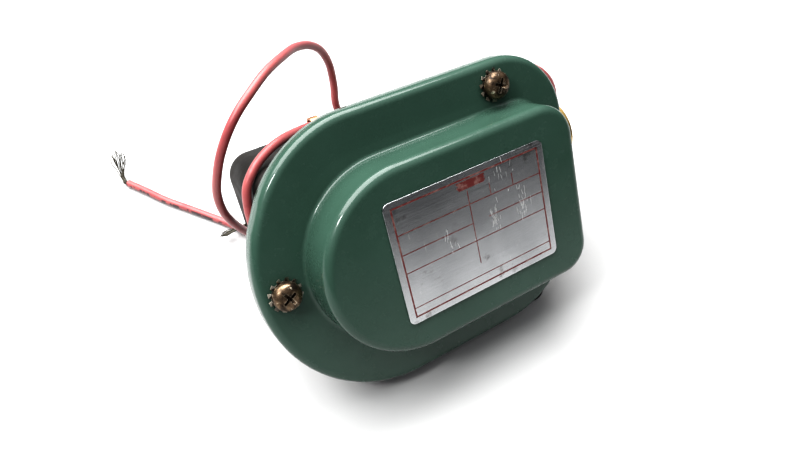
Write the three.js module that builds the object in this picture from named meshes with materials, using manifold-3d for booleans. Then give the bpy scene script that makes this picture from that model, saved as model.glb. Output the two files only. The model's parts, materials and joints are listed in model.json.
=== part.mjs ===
// Solenoid valve with a stepped, D-shaped drawn steel cover, lying back on its rear housing.
//
// The pieces are drawn in the valve's own frame: u runs right along the cover, v up the cover and
// w out of its face, with w = 0 at the cover's rear rim. The group then leans the valve back until
// the rim's lower edge and the housing's rear lower edge both stand on the floor, and +Z is up.
import * as THREE from "three";
import { mergeVertices } from "three/addons/utils/BufferGeometryUtils.js";
import Module from "manifold-3d";

const wasm = await Module();
wasm.setup();
const { Manifold, Mesh: SolidMesh } = wasm;

// ---------------------------------------------------------------- driving dimensions (mm)
const GAP = 0.3; // between pieces that touch on the real valve

// cover: a flange step and a raised box drawn from one sheet
const RIM_HALF_W = 58.7;
const RIM_HIGH = 47.9;
const RIM_LOW = -43.4;
const RIM_LEFT_V = 3.3; // height at which the rim reaches furthest left
const RIM_TOP_LEFT_RUN = 39.8; // horizontal reach of the upper left round
const RIM_LOW_LEFT_RUN = 44;
const RIM_TOP_RIGHT_R = 24;
const RIM_LOW_RIGHT_R = 35;
const FLANGE_H = 5.65;
const FLANGE_EDGE_R = 2.4;
const BOX_LEFT = -41.4;
const BOX_RIGHT = 47.7;
const BOX_LOW = -24.8;
const BOX_HIGH = 30.8;
const BOX_TOP_RIGHT_R = 10.5;
const BOX_LOW_RIGHT_R = 8;
const BOX_FLARE = 1.8; // how far the box's side wall stands outside its top edge
const BOX_EDGE_R = 2.6;
const FACE_W = 20.15;
const COVER_T = 1.2;

// nameplate
const PLATE_LEFT = -21.6;
const PLATE_LOW = -16;
const PLATE_W = 57.2;
const PLATE_H = 39.3;
const PLATE_T = 0.5;
const PLATE_R = 2;
const PLATE_GLUE = 0.15;

// cover screws, their washers and the bushes they pull down on
const LEFT_SCREW_V = 3.7;
const RIGHT_SCREW_U = 32;
const COVER_SCREWS = { // midway across the flange step
  left: [(BOX_LEFT - BOX_FLARE - RIM_HALF_W) / 2, LEFT_SCREW_V],
  right: [RIGHT_SCREW_U, (BOX_HIGH + BOX_FLARE + RIM_HIGH) / 2],
};
const SCREW_R = 2;
const SCREW_HOLE_R = 2.4;
const HEAD_R = 4.4;
const HEAD_H = 3.2;
const WASHER_T = 0.8;
const WASHER_TEETH = 12;
const WASHER_R = 5.3;
const WASHER_ROOT_R = 4.5;
const BUSH_R = 4.2;
const COVER_SCREW_LENGTH = 13;

// gasket and base plate behind the cover
const GASKET_T = 1;
const GASKET_W = 3.5;
const GASKET_INSET = 1.2;
const PLATE_INSET = 2.2;
const BASE_T = 2.5;
const FOOT_LEFT = -26; // the foot is the base plate's lower edge, which shows below the rim
const FOOT_RIGHT = 44.6;
const FOOT_DEPTH = 2.6;
const FOOT_R = 4;
const WINDOW_MARGIN = 1;
const WINDOW_R = 4;

// rear housing
const HOUSING_FOOT_V = -25.9; // its lower edge, which stands on the floor behind the rim
const HOUSING = { left: -44.6, right: 22, low: HOUSING_FOOT_V, high: 33.5, r: 8 };
const HOUSING_REAR_W = -50;
const HOUSING_WALL = 2.5;
const HOUSING_EDGE_R = 3;
const POST_R = 3.2;
const POST_INSET = 5.2;
const POST_DEPTH = 14;
const HOUSING_SCREW_R = 1.3;
const HOUSING_SCREW_HEAD_R = 2.6;
const HOUSING_SCREW_HEAD_H = 1.6;
const HOUSING_SCREW_LENGTH = 11;

// solenoid, on an axis parallel to u
const AXIS_V = (HOUSING.low + HOUSING.high) / 2 + 0.6;
const AXIS_W = -19;
const TUBE_R = 6.5;
const TUBE_BORE_R = 5.7;
const TUBE_LEFT = -41.6;
const TUBE_RIGHT = 22.6;
const CORE_R = 5.5;
const CORE_RIGHT = -14;
const STROKE = 3;
const PLUNGER_R = 5.4;
const PLUNGER_RIGHT = 28.4;
const SPRING_BORE_R = 3.2;
const SPRING_BORE_DEPTH = 12;
const SPRING_R = 2.3;
const SPRING_WIRE_R = 0.4;
const SPRING_TURNS = 7;
const SEAT_R = 4.4;
const SEAT_T = 2.4;
const COIL_LEFT = -36;
const COIL_RIGHT = 10.4;
const COIL_R = 17;
const BOBBIN_TUBE_R = 8.2;
const BOBBIN_FLANGE_T = 1.6;
const WRAP_T = 0.6;
const YOKE_T = 3;
const YOKE_DEPTH = 25;
const CLIP_R = 9;
const CLIP_T = 1.2;

// brass valve body and the bonnet that holds it to the housing
const BODY_R = 13;
const BODY_RIGHT = 50;
const PORT_V = AXIS_V + 5.1;
const PORT_W = AXIS_W + 2;
const PORT_R = 12;
const PORT_END_U = 71.5;
const PORT_BORE_R = 7.5;
const CHAMBER_R = 9;
const CHAMBER_RIGHT = 40;
const SEAT_WALL_RIGHT = 43;
const NOZZLE_R = 4.6;
const ORIFICE_R = 2.4;
const OUTLET_U = 34;
const OUTLET_END_W = -47;
const OUTLET_BORE_R = 6.5;
const BONNET_FLANGE_R = 12;
const BONNET_FLANGE_T = 2.4;
const SEAL_T = 1.2;
const PAD = { left: 40, right: 49, low: PORT_V - 7.5, high: PORT_V + 6.5 };
const BODY_SCREW_V = [PORT_V - 4, PORT_V + 3];
const BODY_SCREW_LENGTH = 9;

// leads: the coil's two wires leave the housing through one bush in its right wall
const LEAD_R = 1.5;
const LEAD_CLEARANCE = 0.3;
const LEAD_STEPS = 60;
const STRAND_R = 0.8;
const STRAND_STEPS = 8;
const TUBE_SIDES = 8;
const GROMMET = { v: -12.5, w: -33, r: 4.6, flange: 5.6, spread: 4.4 };
const GROMMET_OUT = 5;
const LEAD_CLIP = { u: -14, v: 37.2, w: -34.9, bore: 2.4 };

const LEAN = THREE.MathUtils.degToRad(24.8); // the face leans back from upright by this much

// ---------------------------------------------------------------- solids and geometry
function solid(geometry) {
  const bare = geometry.clone();
  bare.deleteAttribute("normal");
  bare.deleteAttribute("uv");
  const merged = mergeVertices(bare, 1e-4);
  return new Manifold(new SolidMesh({
    numProp: 3,
    vertProperties: new Float32Array(merged.attributes.position.array),
    triVerts: new Uint32Array(merged.index.array),
  }));
}

function geometryOf(manifold) {
  const mesh = manifold.getMesh();
  const geometry = new THREE.BufferGeometry();
  geometry.setAttribute("position", new THREE.BufferAttribute(mesh.vertProperties, 3));
  geometry.setIndex(new THREE.BufferAttribute(mesh.triVerts, 1));
  return geometry;
}

const joined = (...parts) => parts.reduce((sum, part) => sum.add(part));
const cut = (body, ...tools) => tools.reduce((rest, tool) => rest.subtract(tool), body);

// A flat outline raised from w = low to w = high, its edges rounded by edge at either end.
function slab(shape, low, high, { edge = 0, segments = 3, curve = 6 } = {}) {
  const geometry = new THREE.ExtrudeGeometry(shape, {
    depth: high - low - 2 * edge,
    bevelEnabled: edge > 0,
    bevelSize: edge,
    bevelThickness: edge,
    bevelOffset: -edge,
    bevelSegments: segments,
    curveSegments: curve,
  });
  return solid(geometry.translate(0, 0, low + edge));
}

// A round bar along w.
function barW(u, v, low, high, radius, sides = 24) {
  const geometry = new THREE.CylinderGeometry(radius, radius, high - low, sides);
  return solid(geometry.rotateX(Math.PI / 2).translate(u, v, (low + high) / 2));
}

// A round bar along u.
function barU(left, right, v, w, radius, sides = 28) {
  const geometry = new THREE.CylinderGeometry(radius, radius, right - left, sides);
  return solid(geometry.rotateZ(Math.PI / 2).translate((left + right) / 2, v, w));
}

function block(left, right, low, high, back, front) {
  const geometry = new THREE.BoxGeometry(right - left, high - low, front - back);
  return solid(geometry.translate((left + right) / 2, (low + high) / 2, (back + front) / 2));
}

// A body turned about the solenoid's axis, from [u, radius] pairs that run left to right.
function turnedU(profile, sides = 28) {
  const points = profile.map(([u, radius]) => new THREE.Vector2(radius, u));
  const geometry = new THREE.LatheGeometry(points, sides);
  return solid(geometry.rotateZ(-Math.PI / 2).translate(0, AXIS_V, AXIS_W));
}

// A hollow turned body: outer pairs run left to right, and the bore has one radius.
function sleeveU(outer, bore, sides = 28) {
  const first = outer[0][0];
  const last = outer[outer.length - 1][0];
  return turnedU([[first, bore], ...outer, [last, bore], [first, bore]], sides);
}

function tubeAlong(points, radius, steps, sides = TUBE_SIDES) {
  const section = new THREE.Shape();
  for (let i = 0; i < sides; i += 1) {
    const angle = (2 * Math.PI * i) / sides;
    const x = radius * Math.cos(angle);
    const y = radius * Math.sin(angle);
    if (i === 0) section.moveTo(x, y);
    else section.lineTo(x, y);
  }
  const path = points instanceof THREE.Curve ? points : new THREE.CatmullRomCurve3(points);
  const geometry = new THREE.ExtrudeGeometry(section, { steps, extrudePath: path });
  return solid(geometry);
}

// ---------------------------------------------------------------- outlines
// A rectangle whose four corners are quarter ellipses, grown outwards by grow.
function roundedOutline({ left, right, low, high, corners }, grow = 0) {
  const [rightTop, leftTop, leftLow, rightLow] = corners.map(([run, rise]) => [run + grow, rise + grow]);
  const l = left - grow;
  const r = right + grow;
  const b = low - grow;
  const t = high + grow;
  const shape = new THREE.Shape();
  shape.moveTo(r, t - rightTop[1]);
  shape.absellipse(r - rightTop[0], t - rightTop[1], rightTop[0], rightTop[1], 0, Math.PI / 2);
  shape.absellipse(l + leftTop[0], t - leftTop[1], leftTop[0], leftTop[1], Math.PI / 2, Math.PI);
  shape.absellipse(l + leftLow[0], b + leftLow[1], leftLow[0], leftLow[1], Math.PI, 1.5 * Math.PI);
  shape.absellipse(r - rightLow[0], b + rightLow[1], rightLow[0], rightLow[1], 1.5 * Math.PI, 2 * Math.PI);
  return shape;
}

const equalCorners = (radius) => [0, 1, 2, 3].map(() => [radius, radius]);

const RIM = {
  left: -RIM_HALF_W,
  right: RIM_HALF_W,
  low: RIM_LOW,
  high: RIM_HIGH,
  corners: [
    [RIM_TOP_RIGHT_R, RIM_TOP_RIGHT_R],
    [RIM_TOP_LEFT_RUN, RIM_HIGH - RIM_LEFT_V],
    [RIM_LOW_LEFT_RUN, RIM_LEFT_V - RIM_LOW],
    [RIM_LOW_RIGHT_R, RIM_LOW_RIGHT_R],
  ],
};
const boxRound = (BOX_HIGH - BOX_LOW) / 2;
const BOX = {
  left: BOX_LEFT,
  right: BOX_RIGHT,
  low: BOX_LOW,
  high: BOX_HIGH,
  corners: [
    [BOX_TOP_RIGHT_R, BOX_TOP_RIGHT_R],
    [boxRound, boxRound],
    [boxRound, boxRound],
    [BOX_LOW_RIGHT_R, BOX_LOW_RIGHT_R],
  ],
};

// ---------------------------------------------------------------- cover and what is on it
function coverShell() {
  const flange = slab(roundedOutline(RIM), -2 * FLANGE_EDGE_R, FLANGE_H, { edge: FLANGE_EDGE_R });
  const box = slab(roundedOutline(BOX, BOX_FLARE), -BOX_EDGE_R, FACE_W, { edge: BOX_EDGE_R });
  const flangeHollow = slab(roundedOutline(RIM, -COVER_T), -10, FLANGE_H - COVER_T, { curve: 5 });
  const boxHollow = slab(roundedOutline(BOX, BOX_FLARE - COVER_T), -10, FACE_W - COVER_T, { curve: 5 });
  const behind = block(-100, 100, -100, 100, -20, 0);
  const holes = Object.values(COVER_SCREWS).map(([u, v]) => barW(u, v, -1, FLANGE_H + 1, SCREW_HOLE_R));
  return cut(joined(flange, box), flangeHollow, boxHollow, behind, ...holes);
}

function nameplate() {
  const outline = roundedOutline({
    left: PLATE_LEFT,
    right: PLATE_LEFT + PLATE_W,
    low: PLATE_LOW,
    high: PLATE_LOW + PLATE_H,
    corners: equalCorners(PLATE_R),
  });
  return slab(outline, FACE_W + PLATE_GLUE, FACE_W + PLATE_GLUE + PLATE_T, { curve: 4 });
}

const washerBack = FLANGE_H + GAP;
const headBack = washerBack + WASHER_T + GAP;

function lockWasher([u, v]) {
  const star = new THREE.Shape();
  for (let i = 0; i < 4 * WASHER_TEETH; i += 1) {
    const angle = (2 * Math.PI * i) / (4 * WASHER_TEETH);
    const radius = i % 4 < 2 ? WASHER_R : WASHER_ROOT_R;
    const x = u + radius * Math.cos(angle);
    const y = v + radius * Math.sin(angle);
    if (i === 0) star.moveTo(x, y);
    else star.lineTo(x, y);
  }
  const hole = barW(u, v, 0, headBack + 1, SCREW_HOLE_R);
  return cut(slab(star, washerBack, washerBack + WASHER_T), hole);
}

function coverScrew([u, v]) {
  const crown = [[0, 0], [HEAD_R, 0], [HEAD_R, 0.4 * HEAD_H], [0.86 * HEAD_R, 0.75 * HEAD_H],
    [0.55 * HEAD_R, 0.95 * HEAD_H], [0, HEAD_H]];
  const profile = crown.map(([radius, height]) => new THREE.Vector2(radius, height));
  const dome = new THREE.LatheGeometry(profile, 24);
  const head = solid(dome.rotateX(Math.PI / 2).translate(u, v, headBack));
  const shank = barW(u, v, headBack - COVER_SCREW_LENGTH, headBack + 0.5, SCREW_R, 16);
  const arm = 0.58 * HEAD_R;
  const slot = 0.9;
  const floor = headBack + 0.45 * HEAD_H;
  const across = block(u - arm, u + arm, v - slot / 2, v + slot / 2, floor, floor + HEAD_H);
  const upright = block(u - slot / 2, u + slot / 2, v - arm, v + arm, floor, floor + HEAD_H);
  return cut(joined(head, shank), across, upright);
}

const gasketFront = -GAP;
const baseFront = gasketFront - GASKET_T - GAP;
const baseBack = baseFront - BASE_T;

// The bush is pressed through the base plate, and the cover's flange comes down on its end.
function coverBush([u, v]) {
  const collar = barW(u, v, baseFront + GAP, FLANGE_H - COVER_T - GAP, BUSH_R);
  const neck = barW(u, v, baseBack - 1, baseFront + GAP + 0.2, BUSH_R - 1);
  return cut(joined(collar, neck), barW(u, v, baseBack - 2, FLANGE_H, SCREW_R + 0.15, 16));
}

function coverGasket() {
  const back = gasketFront - GASKET_T;
  const outer = slab(roundedOutline(RIM, -GASKET_INSET), back, gasketFront, { curve: 5 });
  const inset = GASKET_INSET + GASKET_W;
  const inner = slab(roundedOutline(RIM, -inset), gasketFront - 2 * GASKET_T, 1, { curve: 5 });
  const bushes = Object.values(COVER_SCREWS).map(([u, v]) => barW(u, v, -5, 1, BUSH_R + GAP));
  return cut(outer, inner, ...bushes);
}

// ---------------------------------------------------------------- base plate and rear housing
const postPlaces = [
  [HOUSING.left + POST_INSET, HOUSING.high - POST_INSET],
  [HOUSING.left + POST_INSET, HOUSING.low + POST_INSET],
  [HOUSING.right - POST_INSET, HOUSING.high - POST_INSET],
  [HOUSING.right - POST_INSET, HOUSING.low + POST_INSET],
];
const bodyScrewU = (PAD.left + PAD.right) / 2;
const bodyScrewPlaces = BODY_SCREW_V.map((v) => [bodyScrewU, v]);

function basePlate() {
  const outline = slab(roundedOutline(RIM, -PLATE_INSET), baseBack, baseFront, { curve: 5 });
  const footLow = RIM_LOW - FOOT_DEPTH;
  const strip = roundedOutline({
    left: FOOT_LEFT,
    right: FOOT_RIGHT,
    low: footLow,
    high: footLow + 16,
    corners: equalCorners(FOOT_R),
  });
  const foot = slab(strip, baseBack, baseFront, { curve: 4 });
  const window = roundedOutline({
    left: COIL_LEFT - WINDOW_MARGIN,
    right: COIL_RIGHT + WINDOW_MARGIN,
    low: AXIS_V - COIL_R - WINDOW_MARGIN,
    high: AXIS_V + COIL_R + WINDOW_MARGIN,
    corners: equalCorners(WINDOW_R),
  });
  const opening = slab(window, -20, 20, { curve: 3 });
  const bushHoles = Object.values(COVER_SCREWS).map(([u, v]) => barW(u, v, -20, 20, BUSH_R - 1 + 0.05));
  const screwPlaces = [...postPlaces, ...bodyScrewPlaces];
  const screwHoles = screwPlaces.map(([u, v]) => barW(u, v, -20, 20, HOUSING_SCREW_R + 0.3, 12));
  return cut(joined(outline, foot), opening, ...bushHoles, ...screwHoles);
}

const housingFront = baseBack - GAP;

function rearHousing() {
  const corners = equalCorners(HOUSING.r);
  const outline = roundedOutline({ ...HOUSING, corners });
  const hollow = roundedOutline({ ...HOUSING, corners }, -HOUSING_WALL);
  const outsideFront = housingFront + 2 * HOUSING_EDGE_R;
  const outside = slab(outline, HOUSING_REAR_W, outsideFront, { edge: HOUSING_EDGE_R, curve: 4 });
  const inside = slab(hollow, HOUSING_REAR_W + HOUSING_WALL, 10, { curve: 4 });
  const ahead = block(-100, 100, -100, 100, housingFront, 20);
  const posts = postPlaces.map(([u, v]) => barW(u, v, housingFront - POST_DEPTH, housingFront, POST_R, 16));
  const tapBack = housingFront - POST_DEPTH + 2;
  const taps = postPlaces.map(([u, v]) => barW(u, v, tapBack, 1, HOUSING_SCREW_R + 0.1, 12));
  const wallHole = (v, w, radius) => barU(HOUSING.right - HOUSING_WALL - 1, HOUSING.right + 1, v, w, radius);
  const spigotHole = wallHole(AXIS_V, AXIS_W, CHAMBER_R);
  const leadHole = wallHole(GROMMET.v, GROMMET.w, GROMMET.r);
  return cut(joined(cut(outside, inside, ahead), ...posts), ...taps, spigotHole, leadHole);
}

function smallScrew([u, v], length) {
  const back = baseFront + GAP;
  const head = barW(u, v, back, back + HOUSING_SCREW_HEAD_H, HOUSING_SCREW_HEAD_R, 16);
  const shank = barW(u, v, back - length, back + 0.2, HOUSING_SCREW_R, 12);
  const slot = block(u - 4, u + 4, v - 0.35, v + 0.35, back + 0.9, back + 4);
  return cut(joined(head, shank), slot);
}

// ---------------------------------------------------------------- solenoid
const coreTube = () => sleeveU([[TUBE_LEFT, TUBE_R], [TUBE_RIGHT, TUBE_R]], TUBE_BORE_R);
const fixedCore = () => turnedU([[TUBE_LEFT, 0], [TUBE_LEFT, CORE_R], [CORE_RIGHT, CORE_R], [CORE_RIGHT, 0]]);

const plungerLeft = CORE_RIGHT + STROKE + 0.5;
const springStart = CORE_RIGHT + 0.2;
const springEnd = plungerLeft + SPRING_BORE_DEPTH - 0.2;

function plunger() {
  const chamfer = 0.6;
  const bar = turnedU([
    [plungerLeft, 0],
    [plungerLeft, PLUNGER_R - chamfer],
    [plungerLeft + chamfer, PLUNGER_R],
    [PLUNGER_RIGHT - chamfer, PLUNGER_R],
    [PLUNGER_RIGHT, PLUNGER_R - chamfer],
    [PLUNGER_RIGHT, 0],
  ]);
  return cut(bar, barU(plungerLeft - 1, plungerLeft + SPRING_BORE_DEPTH, AXIS_V, AXIS_W, SPRING_BORE_R, 20));
}

class Helix extends THREE.Curve {
  constructor(start, end, radius, turns) {
    super();
    Object.assign(this, { start, end, radius, turns });
  }

  getPoint(t, target = new THREE.Vector3()) {
    const angle = 2 * Math.PI * this.turns * t;
    return target.set(this.start + (this.end - this.start) * t,
      AXIS_V + this.radius * Math.cos(angle), AXIS_W + this.radius * Math.sin(angle));
  }
}

function returnSpring() {
  const path = new Helix(springStart + SPRING_WIRE_R, springEnd - SPRING_WIRE_R, SPRING_R, SPRING_TURNS);
  return tubeAlong(path, SPRING_WIRE_R, 12 * SPRING_TURNS, 6);
}

const seatLeft = PLUNGER_RIGHT + GAP;
const seatRight = seatLeft + SEAT_T;
const seatDisc = () => barU(seatLeft, seatRight, AXIS_V, AXIS_W, SEAT_R, 24);

function coilBobbin() {
  return sleeveU([[COIL_LEFT, COIL_R], [COIL_LEFT + BOBBIN_FLANGE_T, COIL_R],
    [COIL_LEFT + BOBBIN_FLANGE_T, BOBBIN_TUBE_R], [COIL_RIGHT - BOBBIN_FLANGE_T, BOBBIN_TUBE_R],
    [COIL_RIGHT - BOBBIN_FLANGE_T, COIL_R], [COIL_RIGHT, COIL_R]], TUBE_R + GAP, 36);
}

const windingLeft = COIL_LEFT + BOBBIN_FLANGE_T + GAP;
const windingRight = COIL_RIGHT - BOBBIN_FLANGE_T - GAP;
const windingR = COIL_R - 1 - WRAP_T;
const wrapInnerR = windingR + GAP;
const wrapR = wrapInnerR + WRAP_T;

function coilWinding() {
  return sleeveU([[windingLeft, windingR], [windingRight, windingR]], BOBBIN_TUBE_R + GAP, 36);
}

const coilWrap = () => sleeveU([[windingLeft, wrapR], [windingRight, wrapR]], wrapInnerR, 36);

const yokeLeft = COIL_LEFT - GAP - YOKE_T;
const yokeRight = COIL_RIGHT + GAP + YOKE_T;
const yokeLow = AXIS_V - COIL_R - GAP - YOKE_T;
const yokeHigh = AXIS_V + COIL_R + GAP;
const yokeBack = AXIS_W - YOKE_DEPTH / 2;
const yokeFront = AXIS_W + YOKE_DEPTH / 2;

function yokeFrame() {
  const whole = block(yokeLeft, yokeRight, yokeLow, yokeHigh, yokeBack, yokeFront);
  const floor = yokeLow + YOKE_T;
  const legLeft = yokeLeft + YOKE_T;
  const legRight = yokeRight - YOKE_T;
  const inside = block(legLeft, legRight, floor, yokeHigh + 1, yokeBack - 1, yokeFront + 1);
  return cut(whole, inside, barU(yokeLeft - 1, yokeRight + 1, AXIS_V, AXIS_W, TUBE_R + GAP));
}

function yokePlate() {
  const under = yokeHigh + GAP;
  return block(yokeLeft, yokeRight, under, under + YOKE_T, yokeBack, yokeFront);
}

// A ring round the end of the core tube, against the yoke's left leg.
function retainingClip() {
  const right = yokeLeft - GAP;
  return sleeveU([[right - CLIP_T, CLIP_R], [right, CLIP_R]], TUBE_R + 0.1);
}

// ---------------------------------------------------------------- valve body
const wallIn = HOUSING.right - HOUSING_WALL;
const sealRight = wallIn - GAP;
const sealLeft = sealRight - SEAL_T;
const bonnetFlangeRight = sealLeft - GAP;
const bodyLeft = HOUSING.right + GAP;

function bonnet() {
  const spigot = CHAMBER_R - GAP;
  const profile = [
    [bonnetFlangeRight - BONNET_FLANGE_T, BONNET_FLANGE_R],
    [bonnetFlangeRight, BONNET_FLANGE_R],
    [bonnetFlangeRight, spigot],
    [bodyLeft + 3.5, spigot],
  ];
  return sleeveU(profile, TUBE_R + 0.1);
}

const bonnetSeal = () => sleeveU([[sealLeft, BONNET_FLANGE_R], [sealRight, BONNET_FLANGE_R]], CHAMBER_R);

function valveBody() {
  const main = barU(bodyLeft, BODY_RIGHT, AXIS_V, AXIS_W, BODY_R, 36);
  const inlet = barU(BODY_RIGHT - 8, PORT_END_U, PORT_V, PORT_W, PORT_R, 36);
  const outlet = barW(OUTLET_U, AXIS_V, OUTLET_END_W, AXIS_W, PORT_R, 36);
  const pad = block(PAD.left, PAD.right, PAD.low, PAD.high, AXIS_W, baseBack - GAP);
  const chamber = barU(bodyLeft - 1, CHAMBER_RIGHT, AXIS_V, AXIS_W, CHAMBER_R);
  const inletBore = barU(SEAT_WALL_RIGHT, PORT_END_U + 1, PORT_V, PORT_W, PORT_BORE_R);
  const outletBore = barW(OUTLET_U, AXIS_V, OUTLET_END_W - 1, AXIS_W, OUTLET_BORE_R, 28);
  const nozzle = barU(seatRight + GAP, SEAT_WALL_RIGHT, AXIS_V, AXIS_W, NOZZLE_R, 24);
  const orifice = barU(seatRight, SEAT_WALL_RIGHT + 1, AXIS_V, AXIS_W, ORIFICE_R, 16);
  const tapBack = baseBack - BODY_SCREW_LENGTH;
  const taps = bodyScrewPlaces.map(([u, v]) => barW(u, v, tapBack, 0, HOUSING_SCREW_R + 0.1, 12));
  const shell = cut(joined(main, inlet, outlet, pad), chamber, outletBore);
  return cut(joined(shell, nozzle), inletBore, orifice, ...taps);
}

// ---------------------------------------------------------------- leads
function leadGrommet() {
  const { v, w, r, flange } = GROMMET;
  const left = wallIn - GAP - 1.5;
  const right = HOUSING.right + GAP;
  const inner = barU(left, wallIn - GAP, v, w, flange, 20);
  const neck = barU(left, right + 1, v, w, r - 0.2, 20);
  const outer = new THREE.CylinderGeometry(flange, r - 0.6, GROMMET_OUT, 20);
  const nose = solid(outer.rotateZ(Math.PI / 2).translate(right + GROMMET_OUT / 2, v, w));
  const bore = LEAD_R + LEAD_CLEARANCE;
  const aside = [w - GROMMET.spread / 2, w + GROMMET.spread / 2];
  const holes = aside.map((at) => barU(left - 1, right + GROMMET_OUT + 1, v, at, bore, 16));
  return cut(joined(inner, neck, nose), ...holes);
}

// A saddle on the housing's top that holds one lead.
function leadClip() {
  const { u, v, w, bore } = LEAD_CLIP;
  const foot = HOUSING.high + GAP;
  const saddle = block(u - 1.5, u + 1.5, foot, v + bore + 0.8, w - bore - 1.6, w + bore + 1.6);
  return cut(saddle, barU(u - 3, u + 3, v, w, bore, 20));
}

// The leads lie free, so their routes are points on the floor's axes (mm): out of the bush, then
// lead 1 rises behind the housing in a tall arch and lead 2 goes over the housing's top.
const LEAD_ROUTES = [
  [
    [13, 11.8, 17.5], [21, 11.8, 17.5], [28, 12, 17.2], [36, 13.5, 15.5], [44, 18, 12], [49, 26, 9],
    [49, 36, 8], [43, 45, 9.5], [34, 51.5, 14], [24, 56, 20.5], [14, 59, 28.5], [6, 60.5, 37],
    [2, 60.6, 46], [2.4, 62.3, 55], [1.2, 62.4, 64], [-2.6, 60.6, 71.8], [-8.2, 57.4, 77.1],
    [-15.6, 52.5, 80.9], [-24.8, 43.8, 84.1], [-33.3, 36.6, 85.2], [-40.8, 31.3, 83.5],
    [-46.8, 28.6, 80], [-51.3, 27.4, 75.1], [-55.2, 27.3, 67.8], [-57.8, 28, 59.1], [-58.6, 29.7, 51],
    [-57.8, 31.1, 42.6], [-55.4, 33.6, 34.5], [-51.9, 37, 26], [-48, 41.5, 17.5], [-44.8, 47.5, 9.5],
    [-43.7, 54.5, 4], [-46.5, 62.5, 2], [-52.4, 72.6, 1.8], [-59.3, 83.6, 1.8], [-66.5, 94.9, 1.8],
    [-72.9, 107.3, 1.8], [-77, 114.6, 1.8],
  ],
  [
    [13, 7.8, 19.4], [21, 7.8, 19.4], [28, 7.8, 19.1], [37, 8.3, 17.6], [47, 9.6, 15.2], [57, 11.6, 15],
    [66, 13.6, 19], [73, 15.2, 26.5], [76.9, 16.4, 36], [77.7, 17.6, 45.5], [75.6, 19.4, 54],
    [70.2, 21.6, 60.3], [61.5, 24, 64.2], [50, 26.2, 66], [37, 28.2, 66],
    [10, 32.4, 63.2], [-3, 33.6, 62.2], [-13, 34.1, 61.6], [-24.8, 31.1, 63.8], [-35.8, 24.1, 68.2],
    [-41.5, 21.2, 68.4], [-46, 19.2, 67.1], [-49.5, 17.6, 64.7], [-52.2, 16.2, 61.2], [-53.6, 14.4, 55],
    [-53.9, 11.7, 46.5], [-53.8, 9.3, 36.8], [-53.8, 8, 26.5], [-54, 8.9, 16.3], [-54, 13, 7.4],
    [-53.6, 20, 2.6], [-51.2, 27.6, 1.9], [-46.2, 34.6, 1.9], [-30.5, 44.4, 2.2],
    [-24.2, 50.4, 2.4], [-21.8, 57.8, 2.6], [-26, 63.9, 3.2], [-33.2, 64.4, 4.4], [-39.2, 61.2, 5.8],
    [-43, 57.8, 6],
  ],
];
const STRAND_ROUTES = [
  [[-77.2, 115, 1.8], [-77.4, 118.5, 2.6], [-77, 122, 4.6], [-77.2, 125, 7.8], [-77.8, 127.4, 11]],
  [[-43.5, 57.5, 6], [-46.5, 57.4, 5.4], [-50.5, 58.7, 4.6], [-54.6, 60.3, 4]],
];
const pointsOf = (route) => route.map((at) => new THREE.Vector3(...at));

// ---------------------------------------------------------------- materials
function finish(color, roughness, metalness = 0) {
  return new THREE.MeshStandardMaterial({ color, roughness, metalness });
}

const greenEnamel = finish(0x3f5f4e, 0.25);
const platedAluminium = finish(0xb9bbbb, 0.35, 1);
const tarnishedSteel = finish(0x4d4238, 0.4, 1);
const brass = finish(0xb08d45, 0.35, 1);
const blackEnamel = finish(0x1b1a19, 0.6);
const blackRubber = finish(0x161616, 0.9);
const tanRubber = finish(0xb5825a, 0.7);
const mildSteel = finish(0x8d9092, 0.4, 1);
const stainless = finish(0xb4b6b8, 0.3, 1);
const phenolic = finish(0x4a2c1c, 0.5);
const copper = finish(0xb4683a, 0.35, 1);
const clothTape = finish(0xd3c08a, 0.9);
const redRubber = finish(0xb05a58, 0.6);
const tinnedCopper = finish(0x5d5a50, 0.5, 1);

// ---------------------------------------------------------------- assembly
const valve = new THREE.Group();
const assembly = new THREE.Group();
assembly.add(valve);

function place(name, body, material, group = valve) {
  const mesh = new THREE.Mesh(geometryOf(body), material.clone());
  mesh.name = name;
  group.add(mesh);
}

place("cover_shell", coverShell(), greenEnamel);
place("nameplate", nameplate(), platedAluminium);
for (const [side, at] of Object.entries(COVER_SCREWS)) {
  place(`lock_washer_${side}`, lockWasher(at), stainless);
  place(`cover_screw_${side}`, coverScrew(at), tarnishedSteel);
  place(`cover_bush_${side}`, coverBush(at), brass);
}
place("cover_gasket", coverGasket(), blackRubber);
place("base_plate", basePlate(), blackEnamel);
place("rear_housing", rearHousing(), blackEnamel);
postPlaces.forEach((at, i) => {
  place(`housing_screw_${i + 1}`, smallScrew(at, HOUSING_SCREW_LENGTH), mildSteel);
});
place("core_tube", coreTube(), stainless);
place("fixed_core", fixedCore(), mildSteel);
place("plunger", plunger(), stainless);
place("return_spring", returnSpring(), stainless);
place("seat_disc", seatDisc(), blackRubber);
place("coil_bobbin", coilBobbin(), phenolic);
place("coil_winding", coilWinding(), copper);
place("coil_wrap", coilWrap(), clothTape);
place("yoke_frame", yokeFrame(), mildSteel);
place("yoke_plate", yokePlate(), mildSteel);
place("retaining_clip", retainingClip(), mildSteel);
place("bonnet", bonnet(), brass);
place("bonnet_seal", bonnetSeal(), blackRubber);
place("valve_body", valveBody(), brass);
bodyScrewPlaces.forEach((at, i) => {
  place(`body_screw_${i + 1}`, smallScrew(at, BODY_SCREW_LENGTH), mildSteel);
});
place("lead_grommet", leadGrommet(), tanRubber);
place("lead_clip", leadClip(), copper);

// ---------------------------------------------------------------- resting pose
valve.rotation.x = Math.PI / 2 - LEAN;
valve.updateMatrixWorld(true);
const box = new THREE.Box3().setFromObject(valve, true);
valve.position.set(-(box.min.x + box.max.x) / 2, -(box.min.y + box.max.y) / 2, -box.min.z);

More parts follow.
